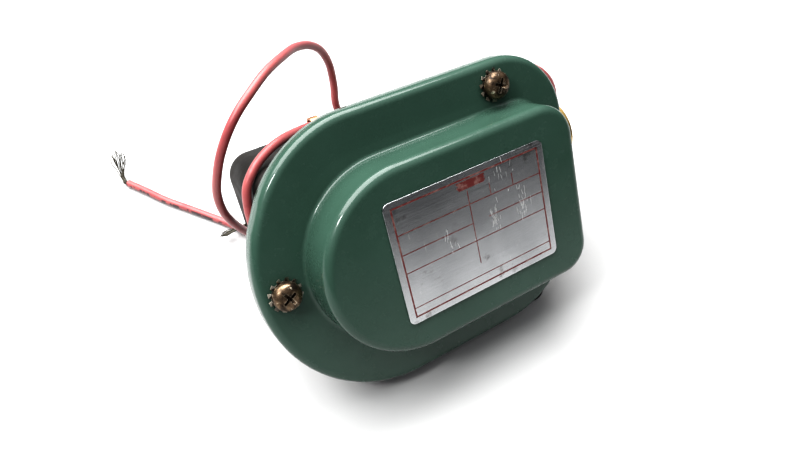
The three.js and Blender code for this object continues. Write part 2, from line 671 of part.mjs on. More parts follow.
LEAD_ROUTES.forEach((route, i) => {
  place(`lead_wire_${i + 1}`, tubeAlong(pointsOf(route), LEAD_R, LEAD_STEPS), redRubber, assembly);
});
STRAND_ROUTES.forEach((route, i) => {
  place(`lead_strands_${i + 1}`, tubeAlong(pointsOf(route), STRAND_R, STRAND_STEPS), tinnedCopper, assembly);
});

export default assembly;
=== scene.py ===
"""Looks of a solenoid valve with a stepped D-shaped cover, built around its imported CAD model."""

import json
import math
import random

import bmesh
import bpy
from mathutils import Matrix, Vector


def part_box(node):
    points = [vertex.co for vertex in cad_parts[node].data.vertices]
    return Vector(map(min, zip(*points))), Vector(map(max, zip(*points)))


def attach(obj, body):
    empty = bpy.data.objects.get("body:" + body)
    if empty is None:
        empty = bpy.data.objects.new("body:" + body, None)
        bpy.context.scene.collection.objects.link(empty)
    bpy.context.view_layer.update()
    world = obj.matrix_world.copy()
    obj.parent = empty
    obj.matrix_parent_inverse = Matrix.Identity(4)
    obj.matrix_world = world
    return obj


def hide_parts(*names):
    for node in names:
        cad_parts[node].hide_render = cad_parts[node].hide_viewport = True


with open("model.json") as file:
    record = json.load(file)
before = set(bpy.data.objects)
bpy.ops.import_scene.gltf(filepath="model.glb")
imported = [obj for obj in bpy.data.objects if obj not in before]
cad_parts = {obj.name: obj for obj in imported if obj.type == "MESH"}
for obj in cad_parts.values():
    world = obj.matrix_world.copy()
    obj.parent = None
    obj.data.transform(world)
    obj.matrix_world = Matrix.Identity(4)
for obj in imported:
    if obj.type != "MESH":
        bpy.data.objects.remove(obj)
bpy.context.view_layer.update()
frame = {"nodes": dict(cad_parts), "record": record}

# ------------------------------------------------------------------ the valve's own axes
# u runs right along the cover, v up it and w out of its face. All are in millimetres, and w = 0 is
# where the cover's rim meets the plate behind it.
LEAN = math.radians(24.8)
FLANGE_H = 5.65
FLANGE_EDGE = 2.4
FACE_W = 20.15
BOX_EDGE = 2.6
BOX_FLARE = 1.8
COVER_T = 1.2
PLATE_LOW = (-21.6, -16.0)
PLATE_SIZE = (57.2, 39.3)
PLATE_BACK = FACE_W + 0.15
PLATE_T = 0.5

# Outlines: left, right, low, high, then [run, rise] of the corners from upper right, anticlockwise.
RIM = (-58.7, 58.7, -43.4, 47.9, ((24, 24), (39.8, 44.6), (44, 46.7), (35, 35)))
BOX = (-41.4, 47.7, -24.8, 30.8, ((10.5, 10.5), (27.8, 27.8), (27.8, 27.8), (8, 8)))
HOUSING = (-44.6, 22.0, -25.9, 33.5, ((8, 8),) * 4)
HOUSING_BACK, HOUSING_FRONT = -50.0, -4.4
PLATE = (
    PLATE_LOW[0],
    PLATE_LOW[0] + PLATE_SIZE[0],
    PLATE_LOW[1],
    PLATE_LOW[1] + PLATE_SIZE[1],
    ((2, 2),) * 4,
)

low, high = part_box("nameplate")
plate_middle = Vector(
    (
        PLATE_LOW[0] + PLATE_SIZE[0] / 2,
        PLATE_LOW[1] + PLATE_SIZE[1] / 2,
        PLATE_BACK + PLATE_T / 2,
    )
)
turn = Matrix.Rotation(math.pi / 2 - LEAN, 4, "X") @ Matrix.Scale(0.001, 4)
VALVE = Matrix.Translation((low + high) / 2 - turn @ plate_middle) @ turn


# ------------------------------------------------------------------ camera
camera = bpy.data.objects.new("camera", bpy.data.cameras.new("camera"))
bpy.context.scene.collection.objects.link(camera)
camera.location = (-0.09436, -0.13714, 0.19641)
camera.rotation_euler = [math.radians(angle) for angle in (45.204, -0.264, -32.408)]
camera.data.lens = 29.62
camera.data.sensor_width = 36
camera.data.clip_start = 0.01
bpy.context.scene.camera = camera


# ------------------------------------------------------------------ material helpers
class Look:
    """A Principled material and short calls for the procedural nodes that feed it."""

    def __init__(self, name, color, roughness, metallic=0.0, **inputs):
        self.material = bpy.data.materials.new(name)
        self.material.use_nodes = True
        self.nodes = self.material.node_tree.nodes
        self.links = self.material.node_tree.links
        self.shader = self.nodes["Principled BSDF"]
        self.shader.inputs["Base Color"].default_value = (*color, 1)
        self.shader.inputs["Roughness"].default_value = roughness
        self.shader.inputs["Metallic"].default_value = metallic
        for socket, value in inputs.items():
            self.shader.inputs[socket.replace("_", " ")].default_value = value
        self.coords = self.nodes.new("ShaderNodeTexCoord").outputs["Object"]

    def link(self, source, socket):
        self.links.new(source, socket)

    def stretched(self, scale, turn_x=0.0):
        """Object coordinates, turned about X and then stretched."""
        node = self.nodes.new("ShaderNodeMapping")
        node.vector_type = "TEXTURE"
        node.inputs["Rotation"].default_value = (turn_x, 0, 0)
        node.inputs["Scale"].default_value = scale
        self.link(self.coords, node.inputs["Vector"])
        return node.outputs["Vector"]

    def noise(self, scale, detail=4.0, rough=0.55, coords=None):
        node = self.nodes.new("ShaderNodeTexNoise")
        node.inputs["Scale"].default_value = scale
        node.inputs["Detail"].default_value = detail
        node.inputs["Roughness"].default_value = rough
        self.link(coords or self.coords, node.inputs["Vector"])
        return node.outputs["Fac"]

    def between(self, source, low, high, start=0.0, end=1.0):
        """start where source is at low, end where it is at high, and clamped."""
        node = self.nodes.new("ShaderNodeMapRange")
        node.inputs["From Min"].default_value = low
        node.inputs["From Max"].default_value = high
        node.inputs["To Min"].default_value = start
        node.inputs["To Max"].default_value = end
        self.link(source, node.inputs["Value"])
        return node.outputs["Result"]

    def math(self, operation, a, b):
        node = self.nodes.new("ShaderNodeMath")
        node.operation = operation
        for socket, value in zip(node.inputs, (a, b)):
            if isinstance(value, (int, float)):
                socket.default_value = value
            else:
                self.link(value, socket)
        return node.outputs[0]

    def colors(self, mask, a, b):
        """Colour a where the mask is 0, and b where it is 1."""
        node = self.nodes.new("ShaderNodeMix")
        node.data_type = "RGBA"
        self.link(mask, node.inputs["Factor"])
        for name, value in (("A", a), ("B", b)):
            socket = next(s for s in node.inputs if s.name == name and s.type == "RGBA")
            if isinstance(value, tuple):
                socket.default_value = (*value, 1)
            else:
                self.link(value, socket)
        return next(s for s in node.outputs if s.type == "RGBA")

    def edges(self, radius):
        """1 on sharp outer edges, 0 elsewhere."""
        bevel = self.nodes.new("ShaderNodeBevel")
        bevel.inputs["Radius"].default_value = radius
        plain = self.nodes.new("ShaderNodeNewGeometry")
        dot = self.nodes.new("ShaderNodeVectorMath")
        dot.operation = "DOT_PRODUCT"
        self.link(bevel.outputs["Normal"], dot.inputs[0])
        self.link(plain.outputs["Normal"], dot.inputs[1])
        return self.between(dot.outputs["Value"], 0.995, 0.93)

    def height(self, depth, strength, *fields):
        """Bumps the surface by one or more fields, one after another."""
        normal = None
        for field in fields:
            node = self.nodes.new("ShaderNodeBump")
            node.inputs["Distance"].default_value = depth
            node.inputs["Strength"].default_value = strength
            self.link(field, node.inputs["Height"])
            if normal:
                self.link(normal, node.inputs["Normal"])
            normal = node.outputs["Normal"]
        self.link(normal, self.shader.inputs["Normal"])

    def drive(self, **sources):
        for socket, source in sources.items():
            self.link(source, self.shader.inputs[socket.replace("_", " ")])


# ------------------------------------------------------------------ materials
def green_enamel():
    """Glossy dark paint with dust, worn edges and small chips down to dark metal."""
    look = Look(
        "green_enamel", (0.038, 0.076, 0.058), 0.24,
        Specular_IOR_Level=0.22, Coat_Weight=0.3, Coat_Roughness=0.05,
    )
    tone = look.between(look.noise(30, 3), 0.3, 0.7)
    paint = look.colors(tone, (0.031, 0.062, 0.046), (0.038, 0.074, 0.056))
    dust = look.math("MULTIPLY", look.between(look.noise(1900, 2), 0.7, 0.78), 0.3)
    paint = look.colors(dust, paint, (0.12, 0.16, 0.14))
    worn = look.math(
        "MULTIPLY", look.edges(0.0009), look.between(look.noise(260, 5, 0.7), 0.56, 0.62)
    )
    chips = look.between(look.noise(170, 6, 0.75), 0.745, 0.76)
    chips = look.math("MAXIMUM", chips, worn)
    look.drive(
        Base_Color=look.colors(chips, paint, (0.02, 0.022, 0.02)),
        Roughness=look.between(look.noise(220, 6), 0.35, 0.75, 0.17, 0.34),
        Coat_Weight=look.between(chips, 0, 1, 0.3, 0),
    )
    ripple = look.noise(380, 2)
    look.height(0.00006, 0.35, look.between(chips, 0, 1, 1, 0), ripple)
    return look.material


def plate_aluminium():
    look = Look("plate_aluminium", (0.62, 0.63, 0.64), 0.3, 1.0)
    grain = look.noise(60, 6, 0.7, look.stretched((1.0, 0.02, 0.02)))
    streaks = look.between(grain, 0.3, 0.7)
    cloud = look.between(look.noise(45, 4), 0.35, 0.7)
    base = look.colors(cloud, (0.5, 0.51, 0.52), (0.68, 0.69, 0.7))
    scratch_lines = look.noise(150, 3, 0.6, look.stretched((0.09, 1.0, 1.0), LEAN))
    scratched = look.between(scratch_lines, 0.69, 0.72)
    stain = look.math("MULTIPLY", look.between(look.noise(110, 6, 0.7), 0.6, 0.68), 0.55)
    base = look.colors(stain, base, (0.13, 0.11, 0.1))
    look.drive(
        Base_Color=look.colors(scratched, base, (0.93, 0.93, 0.92)),
        Roughness=look.between(streaks, 0, 1, 0.16, 0.26),
    )
    look.height(0.00002, 0.3, grain, scratched)
    return look.material


def plate_print():
    look = Look("plate_print", (0.13, 0.025, 0.02), 0.45)
    worn = look.between(look.noise(420, 5, 0.7), 0.5, 0.62)
    look.drive(
        Base_Color=look.colors(worn, (0.12, 0.02, 0.018), (0.3, 0.17, 0.15)),
        Metallic=look.between(worn, 0, 1, 0.1, 0.7),
    )
    look.height(0.00001, 0.4, worn)
    return look.material


def tarnished_steel():
    look = Look("tarnished_steel", (0.1, 0.075, 0.05), 0.35, 0.85)
    patches = look.between(look.noise(420, 6, 0.65), 0.4, 0.62)
    base = look.colors(patches, (0.028, 0.02, 0.015), (0.2, 0.14, 0.09))
    bright = look.between(look.noise(600, 5, 0.7), 0.62, 0.68)
    bright = look.math("MAXIMUM", bright, look.math("MULTIPLY", look.edges(0.0002), 0.6))
    look.drive(
        Base_Color=look.colors(bright, base, (0.75, 0.66, 0.52)),
        Roughness=look.between(patches, 0, 1, 0.5, 0.26),
    )
    look.height(0.00005, 0.6, look.noise(900, 6, 0.7))
    return look.material


def metal(name, dark, light, roughness, grain_scale=300.0, grime=(0.05, 0.04, 0.03)):
    """Machined metal: fine turning lines, clouding and a little grime."""
    look = Look(name, light, roughness, 1.0)
    cloud = look.between(look.noise(90, 5), 0.35, 0.68)
    base = look.colors(cloud, dark, light)
    dirt = look.math("MULTIPLY", look.between(look.noise(200, 6, 0.7), 0.58, 0.7), 0.7)
    look.drive(
        Base_Color=look.colors(dirt, base, grime),
        Roughness=look.between(cloud, 0, 1, roughness + 0.12, roughness),
    )
    look.height(0.00003, 0.3, look.noise(grain_scale, 5, 0.7, look.stretched((0.15, 1, 1))))
    return look.material


def black_enamel():
    look = Look("black_enamel", (0.012, 0.011, 0.01), 0.42, Specular_IOR_Level=0.25)
    pores = look.noise(1500, 3)
    cloud = look.between(look.noise(120, 5), 0.4, 0.7)
    base = look.colors(cloud, (0.006, 0.0055, 0.005), (0.016, 0.014, 0.012))
    scuffs = look.math(
        "MULTIPLY", look.edges(0.0008), look.between(look.noise(300, 6, 0.7), 0.5, 0.6)
    )
    rust = look.math("MULTIPLY", look.between(look.noise(260, 6, 0.75), 0.62, 0.68), 0.6)
    base = look.colors(rust, base, (0.07, 0.038, 0.022))
    look.drive(
        Base_Color=look.colors(scuffs, base, (0.2, 0.19, 0.18)),
        Roughness=look.between(cloud, 0, 1, 0.42, 0.66),
    )
    look.height(0.00005, 0.5, pores, cloud)
    return look.material


def rubber(name, color, light):
    """Dull rubber with a pale bloom in patches."""
    look = Look(name, color, 0.7)
    bloom = look.between(look.noise(500, 6, 0.7), 0.4, 0.7)
    look.drive(
        Base_Color=look.colors(bloom, color, light),
        Roughness=look.between(bloom, 0, 1, 0.6, 0.85),
    )
    look.height(0.00004, 0.5, look.noise(2000, 4))
    return look.material


def red_insulation():
    """Faded lead insulation with dirty patches, and painted shade in broken patches along the
    underside of lead 1 near its free end, where it lies on the floor.
    """
    look = Look("red_insulation", (0.4, 0.09, 0.09), 0.5, Sheen_Weight=0.15)
    fade = look.between(look.noise(55, 5), 0.35, 0.7)
    base = look.colors(fade, (0.25, 0.05, 0.052), (0.33, 0.085, 0.082))
    grime = look.math("MULTIPLY", look.between(look.noise(160, 6, 0.7), 0.56, 0.7), 0.6)
    base = look.colors(grime, base, (0.17, 0.035, 0.04))
    # Painted shade: the low side of lead 1 near its free end, where it rests on the floor, is
    # darkened in broken patches.
    place = look.nodes.new("ShaderNodeSeparateXYZ")
    look.link(look.coords, place.inputs["Vector"])
    free_end = look.between(place.outputs["Y"], 0.066, 0.07)
    below = look.between(place.outputs["Z"], 0.0028, 0.0024)
    broken = look.between(look.noise(300, 2, 0.5, look.stretched((1, 1, 8))), 0.5, 0.53)
    painted_underside_shade = look.math("MULTIPLY", look.math("MULTIPLY", free_end, below), broken)
    look.drive(
        Base_Color=look.colors(painted_underside_shade, base, (0.03, 0.012, 0.014)),
        Roughness=look.between(grime, 0, 1, 0.42, 0.62),
    )
    look.height(0.00004, 0.4, look.noise(700, 5))
    return look.material


def cloth_tape():
    look = Look("cloth_tape", (0.6, 0.5, 0.27), 0.8)
    weave = look.nodes.new("ShaderNodeTexWave")
    weave.inputs["Scale"].default_value = 700
    weave.inputs["Distortion"].default_value = 0.6
    look.link(look.coords, weave.inputs["Vector"])
    stain = look.between(look.noise(90, 5), 0.4, 0.7)
    look.drive(Base_Color=look.colors(stain, (0.62, 0.52, 0.3), (0.42, 0.3, 0.14)))
    look.height(0.00008, 0.6, weave.outputs["Fac"])
    return look.material


def copper_winding():
    """Fine enamelled wire in close turns round the bobbin."""
    look = Look("copper_winding", (0.5, 0.2, 0.1), 0.3, 1.0)
    turns = look.nodes.new("ShaderNodeTexWave")
    turns.bands_direction = "X"
    turns.inputs["Scale"].default_value = 900
    look.link(look.coords, turns.inputs["Vector"])
    look.drive(Base_Color=look.colors(look.noise(200, 4), (0.34, 0.11, 0.05), (0.62, 0.27, 0.14)))
    look.height(0.0001, 0.8, turns.outputs["Fac"])
    return look.material


def phenolic():
    look = Look("phenolic", (0.07, 0.03, 0.015), 0.4)
    flecks = look.between(look.noise(800, 5, 0.7), 0.5, 0.65)
    look.drive(Base_Color=look.colors(flecks, (0.06, 0.024, 0.012), (0.14, 0.07, 0.035)))
    look.height(0.00004, 0.3, look.noise(1200, 3))
    return look.material


SLOTS = {
    "green_enamel": green_enamel(),
    "plate_aluminium": plate_aluminium(),
    "tarnished_steel": tarnished_steel(),
    "spring_steel": metal("spring_steel", (0.1, 0.085, 0.065), (0.42, 0.39, 0.33), 0.3),
    "stainless": metal("stainless", (0.45, 0.46, 0.47), (0.66, 0.67, 0.68), 0.24),
    "mild_steel": metal("mild_steel", (0.3, 0.31, 0.31), (0.52, 0.53, 0.54), 0.36),
    "brass": metal("brass", (0.36, 0.24, 0.08), (0.62, 0.45, 0.18), 0.26, 400, (0.09, 0.055, 0.02)),
    "copper": metal("copper", (0.3, 0.13, 0.06), (0.6, 0.3, 0.17), 0.36),
    "black_enamel": black_enamel(),
    "black_rubber": rubber("black_rubber", (0.012, 0.012, 0.012), (0.035, 0.034, 0.032)),
    "tan_rubber": rubber("tan_rubber", (0.36, 0.19, 0.09), (0.5, 0.31, 0.17)),
    "phenolic": phenolic(),
    "cloth_tape": cloth_tape(),
    "red_insulation": red_insulation(),
    "tinned_copper": metal("tinned_copper", (0.03, 0.03, 0.024), (0.12, 0.11, 0.09), 0.45, 900),
}
PRINT = plate_print()
BRIGHT = metal(
    "scratched_metal", (0.75, 0.75, 0.74), (0.95, 0.95, 0.94), 0.5, grime=(0.5, 0.5, 0.5)
)

for part in frame["record"]["subparts"]:
    node = frame["nodes"][part["node"]]
    node.data.materials.clear()
    node.data.materials.append(SLOTS[part["material_slot"]])
winding = frame["nodes"]["coil_winding"]
winding.data.materials.clear()
winding.data.materials.append(copper_winding())


# ------------------------------------------------------------------ making pieces
def piece(name, bm, slot, replaced=(), material=None, smooth=True):
    """Turns a bmesh in the valve's axes into a piece on its body, cleaned and facing out."""
    bmesh.ops.remove_doubles(bm, verts=bm.verts, dist=0.001)
    bmesh.ops.recalc_face_normals(bm, faces=bm.faces)
    bm.transform(VALVE)
    for face in bm.faces:
        face.smooth = smooth
    mesh = bpy.data.meshes.new(name)
    bm.to_mesh(mesh)
    bm.free()
    obj = bpy.data.objects.new(name, mesh)
    bpy.context.scene.collection.objects.link(obj)
    mesh.materials.append(material or SLOTS[slot])
    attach(obj, "valve")
    if replaced:
        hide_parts(*replaced)
    return obj


def sharp_edges(obj, degrees):
    """Splits the shading at edges that turn by more than this."""
    modifier = obj.modifiers.new("hard edges", "EDGE_SPLIT")
    modifier.split_angle = math.radians(degrees)


def bake(obj):
    """Applies the object's modifiers to its mesh."""
    depsgraph = bpy.context.evaluated_depsgraph_get()
    mesh = bpy.data.meshes.new_from_object(obj.evaluated_get(depsgraph))
    obj.modifiers.clear()
    obj.data = mesh


def cut(obj, tool):
    """Cuts a closed bmesh, placed and facing out, from a piece."""
    mesh = bpy.data.meshes.new("cutter")
    tool.to_mesh(mesh)
    tool.free()
    cutter = bpy.data.objects.new("cutter", mesh)
    bpy.context.scene.collection.objects.link(cutter)
    taken = obj.modifiers.new("cut", "BOOLEAN")
    taken.operation = "DIFFERENCE"
    taken.solver = "EXACT"
    taken.object = cutter
    bake(obj)
    bpy.data.objects.remove(cutter)


def outline(shape, grow=0.0, quarter=20, straight=8):
    """The shape's points, grown outwards, the same number for every shape and size."""
    left, right, low, high, corners = shape
    (tr, tl, bl, br) = [(run + grow, rise + grow) for run, rise in corners]
    left, right, low, high = left - grow, right + grow, low - grow, high + grow
    middles = (
        (right - tr[0], high - tr[1], tr),
        (left + tl[0], high - tl[1], tl),
        (left + bl[0], low + bl[1], bl),
        (right - br[0], low + br[1], br),
    )
    points = []
    for i, (u, v, (run, rise)) in enumerate(middles):
        arc = []
        for k in range(quarter + 1):
            angle = math.pi / 2 * (i + k / quarter)
            arc.append((u + run * math.cos(angle), v + rise * math.sin(angle)))
        after_u, after_v, (after_run, after_rise) = middles[(i + 1) % 4]
        angle = math.pi / 2 * (i + 1)
        end = (after_u + after_run * math.cos(angle), after_v + after_rise * math.sin(angle))
        points += arc
        for k in range(1, straight):
            t = k / straight
            points.append((arc[-1][0] * (1 - t) + end[0] * t, arc[-1][1] * (1 - t) + end[1] * t))
    return points


def skin(rings, cap_first=False, cap_last=False):
    """A bmesh of quads between rings, each a list of (u, v, w)."""
    bm = bmesh.new()
    loops = [[bm.verts.new(point) for point in ring] for ring in rings]
    count = len(loops[0])
    for lower, upper in zip(loops, loops[1:]):
        for i in range(count):
            j = (i + 1) % count
            bm.faces.new((lower[i], lower[j], upper[j], upper[i]))
    if cap_first:
        bm.faces.new(loops[0])
    if cap_last:
        bm.faces.new(loops[-1])
    return bm


def ring_at(shape, grow, w):
    return [(u, v, w) for u, v in outline(shape, grow)]


def rounded(grow, w, radius, steps=8):
    """(grow, w) pairs round an outer edge that starts upright at grow and ends flat at w."""
    angles = [math.pi / 2 * i / steps for i in range(steps + 1)]
    middle_grow, middle_w = grow - radius, w - radius
    return [(middle_grow + radius * math.cos(a), middle_w + radius * math.sin(a)) for a in angles]


def turned(profile, axis, sides=72):
    """A body of revolution: (along, radius) pairs about a line through axis along u, or along w."""
    (u0, v0, w0), direction = axis
    rings = []
    for along, radius in profile:
        ring = []
        for i in range(sides):
            a = 2 * math.pi * i / sides
            x, y = radius * math.cos(a), radius * math.sin(a)
            ring.append((along, v0 + x, w0 + y) if direction == "u" else (u0 + x, v0 + y, along))
        rings.append(ring)
    return skin(rings, profile[0][1] > 0, profile[-1][1] > 0)


def merged(*parts):
    """Several bmeshes as one."""
    whole = bmesh.new()
    for part in parts:
        mesh = bpy.data.meshes.new("part")
        part.to_mesh(mesh)
        part.free()
        whole.from_mesh(mesh)
        bpy.data.meshes.remove(mesh)
    return whole


# ------------------------------------------------------------------ leads
LEAD_D = 0.003
LEADS = [
    [
        (0.013, 0.0118, 0.0175), (0.021, 0.0118, 0.0175), (0.028, 0.012, 0.0172),
        (0.036, 0.0135, 0.0155), (0.044, 0.018, 0.012), (0.049, 0.026, 0.009),
        (0.049, 0.036, 0.008), (0.043, 0.045, 0.0095), (0.034, 0.0515, 0.014),
        (0.024, 0.056, 0.0205), (0.014, 0.059, 0.0285),
        (0.006, 0.0605, 0.037), (0.002, 0.0606, 0.046), (0.0024, 0.0623, 0.055),
        (0.0012, 0.0624, 0.064), (-0.0026, 0.0606, 0.0718), (-0.0082, 0.0574, 0.0771),
        (-0.0156, 0.0525, 0.0809), (-0.0248, 0.0438, 0.0841), (-0.0333, 0.0366, 0.0852),
        (-0.0408, 0.0313, 0.0835), (-0.0468, 0.0286, 0.08), (-0.0513, 0.0274, 0.0751),
        (-0.0552, 0.0273, 0.0678), (-0.0578, 0.028, 0.0591), (-0.0586, 0.0297, 0.051),
        (-0.0578, 0.0311, 0.0426), (-0.0554, 0.0336, 0.0345), (-0.0519, 0.037, 0.026),
        (-0.048, 0.0415, 0.0175), (-0.0448, 0.0475, 0.0095), (-0.0437, 0.0545, 0.004),
        (-0.0465, 0.0625, 0.002), (-0.0524, 0.0726, 0.0018), (-0.0593, 0.0836, 0.0018),
        (-0.0665, 0.0949, 0.0018), (-0.0729, 0.1073, 0.0018), (-0.077, 0.1146, 0.0018),
    ],
    [
        (0.013, 0.0078, 0.0194), (0.021, 0.0078, 0.0194), (0.028, 0.0078, 0.0191),
        (0.037, 0.0083, 0.0176), (0.047, 0.0096, 0.0152), (0.057, 0.0116, 0.015),
        (0.066, 0.0136, 0.019), (0.073, 0.0152, 0.0265), (0.0769, 0.0164, 0.036),
        (0.0777, 0.0176, 0.0455), (0.0756, 0.0194, 0.054), (0.0702, 0.0216, 0.0603),
        (0.0615, 0.024, 0.0642), (0.05, 0.0262, 0.066), (0.037, 0.0282, 0.066),
        (0.01, 0.0324, 0.0632),
        (-0.003, 0.0336, 0.0622), (-0.013, 0.0341, 0.0616), (-0.0248, 0.0311, 0.0638),
        (-0.0358, 0.0241, 0.0682), (-0.0415, 0.0212, 0.0684), (-0.046, 0.0192, 0.0671),
        (-0.0495, 0.0176, 0.0647), (-0.0522, 0.0162, 0.0612), (-0.0536, 0.0144, 0.055),
        (-0.0539, 0.0117, 0.0465), (-0.0538, 0.0093, 0.0368), (-0.0538, 0.008, 0.0265),
        (-0.054, 0.0089, 0.0163), (-0.054, 0.013, 0.0074), (-0.0536, 0.02, 0.0026),
        (-0.0512, 0.0276, 0.0019), (-0.0462, 0.0346, 0.0019), (-0.0305, 0.0444, 0.0022),
        (-0.0242, 0.0504, 0.0024), (-0.0218, 0.0578, 0.0026), (-0.026, 0.0639, 0.0032),
        (-0.0332, 0.0644, 0.0044), (-0.0392, 0.0612, 0.0058), (-0.043, 0.0578, 0.006),
    ],
]


def smoothed(points, steps=8):
    """Points along the centripetal spline through the given ones."""
    points = [Vector(p) for p in points]
    padded = [2 * points[0] - points[1], *points, 2 * points[-1] - points[-2]]
    line = []
    for p0, p1, p2, p3 in zip(padded, padded[1:], padded[2:], padded[3:]):
        t1 = (p1 - p0).length ** 0.5
        t2 = t1 + (p2 - p1).length ** 0.5
        t3 = t2 + (p3 - p2).length ** 0.5
        for k in range(steps):
            t = t1 + (t2 - t1) * k / steps
            a1 = p0.lerp(p1, t / t1)
            a2 = p1.lerp(p2, (t - t1) / (t2 - t1))
            a3 = p2.lerp(p3, (t - t2) / (t3 - t2))
            b1 = a1.lerp(a2, t / t2)
            b2 = a2.lerp(a3, (t - t1) / (t3 - t1))
            line.append(b1.lerp(b2, (t - t1) / (t2 - t1)))
    return [*line, points[-1]]


def wires(name, lines, radius, slot, node):
    """Round wires as one curve object, an open spline to each line of points."""
    data = bpy.data.curves.new(name, "CURVE")
    data.dimensions = "3D"
    data.bevel_depth = radius
    data.bevel_resolution = 6
    data.use_fill_caps = True
    for line in lines:
        spline = data.splines.new("POLY")
        spline.points.add(len(line) - 1)
        for point, place in zip(spline.points, line):
            point.co = (*place, 1)
        spline.use_smooth = True
    data.materials.append(SLOTS[slot])
    obj = bpy.data.objects.new(name, data)
    bpy.context.scene.collection.objects.link(obj)
    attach(obj, "valve")
    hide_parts(node)
    return obj


def strand_fan(tips, start, heading, count, seed, spread, bend):
    """Fine strands that leave a lead's end together and spread towards their tips."""
    chance = random.Random(seed)
    lines = []
    for i in range(count):
        turn_angle = 2.4 * i
        off = 0.0009 * math.sqrt((i + 0.5) / count)
        base = start + Vector((off * math.cos(turn_angle), 0, off * math.sin(turn_angle)))
        tip = tips[i % len(tips)].copy()
        for axis in range(3):
            tip[axis] += chance.uniform(-spread, spread)
        tip.z = max(tip.z, 0.0006)
        middle = base.lerp(tip, 0.5) + heading * bend
        kink = base.lerp(tip, 0.8) + Vector([chance.uniform(-0.0007, 0.0007) for _ in range(3)])
        lines.append(smoothed([base, base + heading * 0.002, middle, kink, tip], 5))
    return lines


strands = [
    strand_fan(
        [Vector(tip) for tip in (
            (-0.0745, 0.1262, 0.0095), (-0.0772, 0.1275, 0.0108), (-0.0795, 0.1268, 0.009),
        )],
        start=Vector((-0.0771, 0.1148, 0.0018)),
        heading=Vector((-0.49, 0.87, 0.05)),
        count=16,
        seed=3,
        spread=0.0012,
        bend=0.0013,
    ),
    strand_fan(
        [Vector(tip) for tip in (
            (-0.0540, 0.0602, 0.0035), (-0.0546, 0.0592, 0.0042), (-0.0530, 0.0612, 0.003),
        )],
        start=Vector((-0.0432, 0.0577, 0.006)),
        heading=Vector((-0.93, 0.2, -0.1)),
        count=14,
        seed=8,
        spread=0.0009,
        bend=0.0006,
    ),
]
for i, points in enumerate(LEADS):
    bundle = wires(
        f"bare_strands_{i + 1}", strands[i], 0.00016, "tinned_copper", f"lead_strands_{i + 1}"
    )
    lead = wires(
        f"lead_{i + 1}", [smoothed(points)], LEAD_D / 2, "red_insulation", f"lead_wire_{i + 1}"
    )


# ------------------------------------------------------------------ cover
def cover():
    fillet = 1.3
    rings = [(RIM, 0, 0.0), (RIM, 0, 1.6)]
    rings += [(RIM, grow, w) for grow, w in rounded(0, FLANGE_H, FLANGE_EDGE)]
    rings += [(RIM, -FLANGE_EDGE - 0.3, FLANGE_H), (RIM, -FLANGE_EDGE - 2, FLANGE_H)]
    rings += [(BOX, BOX_FLARE + fillet + 1, FLANGE_H), (BOX, BOX_FLARE + fillet + 0.2, FLANGE_H)]
    for i in range(9):
        a = math.pi / 2 * i / 8
        rings.append(
            (BOX, BOX_FLARE + fillet * (1 - math.sin(a)), FLANGE_H + fillet * (1 - math.cos(a)))
        )
    rings += [(BOX, BOX_FLARE, FLANGE_H + fillet + 0.4), (BOX, BOX_FLARE, FACE_W - BOX_EDGE - 0.3)]
    rings += [(BOX, grow, w) for grow, w in rounded(BOX_FLARE, FACE_W, BOX_EDGE)]
    flat = BOX_FLARE - BOX_EDGE
    rings += [(BOX, flat - 0.3, FACE_W), (BOX, flat - 3, FACE_W)]
    bm = skin([ring_at(*ring) for ring in rings], cap_last=True)
    dent(bm)
    shell = piece("cover", bm, "green_enamel", ["cover_shell"])
    wall = shell.modifiers.new("sheet thickness", "SOLIDIFY")
    wall.thickness = COVER_T / 1000
    wall.offset = -1
    return shell


def dent(bm):
    """A shallow knock in the left side of the rim."""
    middle, reach, depth = Vector((-53.5, 29.0, 3.0)), 6.0, 0.6
    inward = Vector((0.86, -0.5, 0))
    for vert in bm.verts:
        near = 1 - (vert.co - middle).length / reach
        if near > 0:
            vert.co += inward * depth * near * near * (3 - 2 * near)


cover()


# ------------------------------------------------------------------ nameplate
def nameplate():
    front = PLATE_BACK + PLATE_T
    edge = 0.12
    rings = [ring_at(PLATE, 0, PLATE_BACK)]
    rings += [ring_at(PLATE, grow, w) for grow, w in rounded(0, front, edge, 3)]
    rings += [ring_at(PLATE, -edge - 0.15, front)]
    plate = piece("plate", skin(rings, True, True), "plate_aluminium", ["nameplate"])
    sharp_edges(plate, 50)


def bar(u0, v0, u1, v1, width, w):
    """A printed line from one point to another."""
    bm = bmesh.new()
    along = Vector((u1 - u0, v1 - v0, 0)).normalized() * width / 2
    aside = Vector((-along.y, along.x, 0))
    a, b = Vector((u0, v0, w)) - along, Vector((u1, v1, w)) + along
    bm.faces.new([bm.verts.new(p) for p in (a - aside, b - aside, b + aside, a + aside)])
    return bm


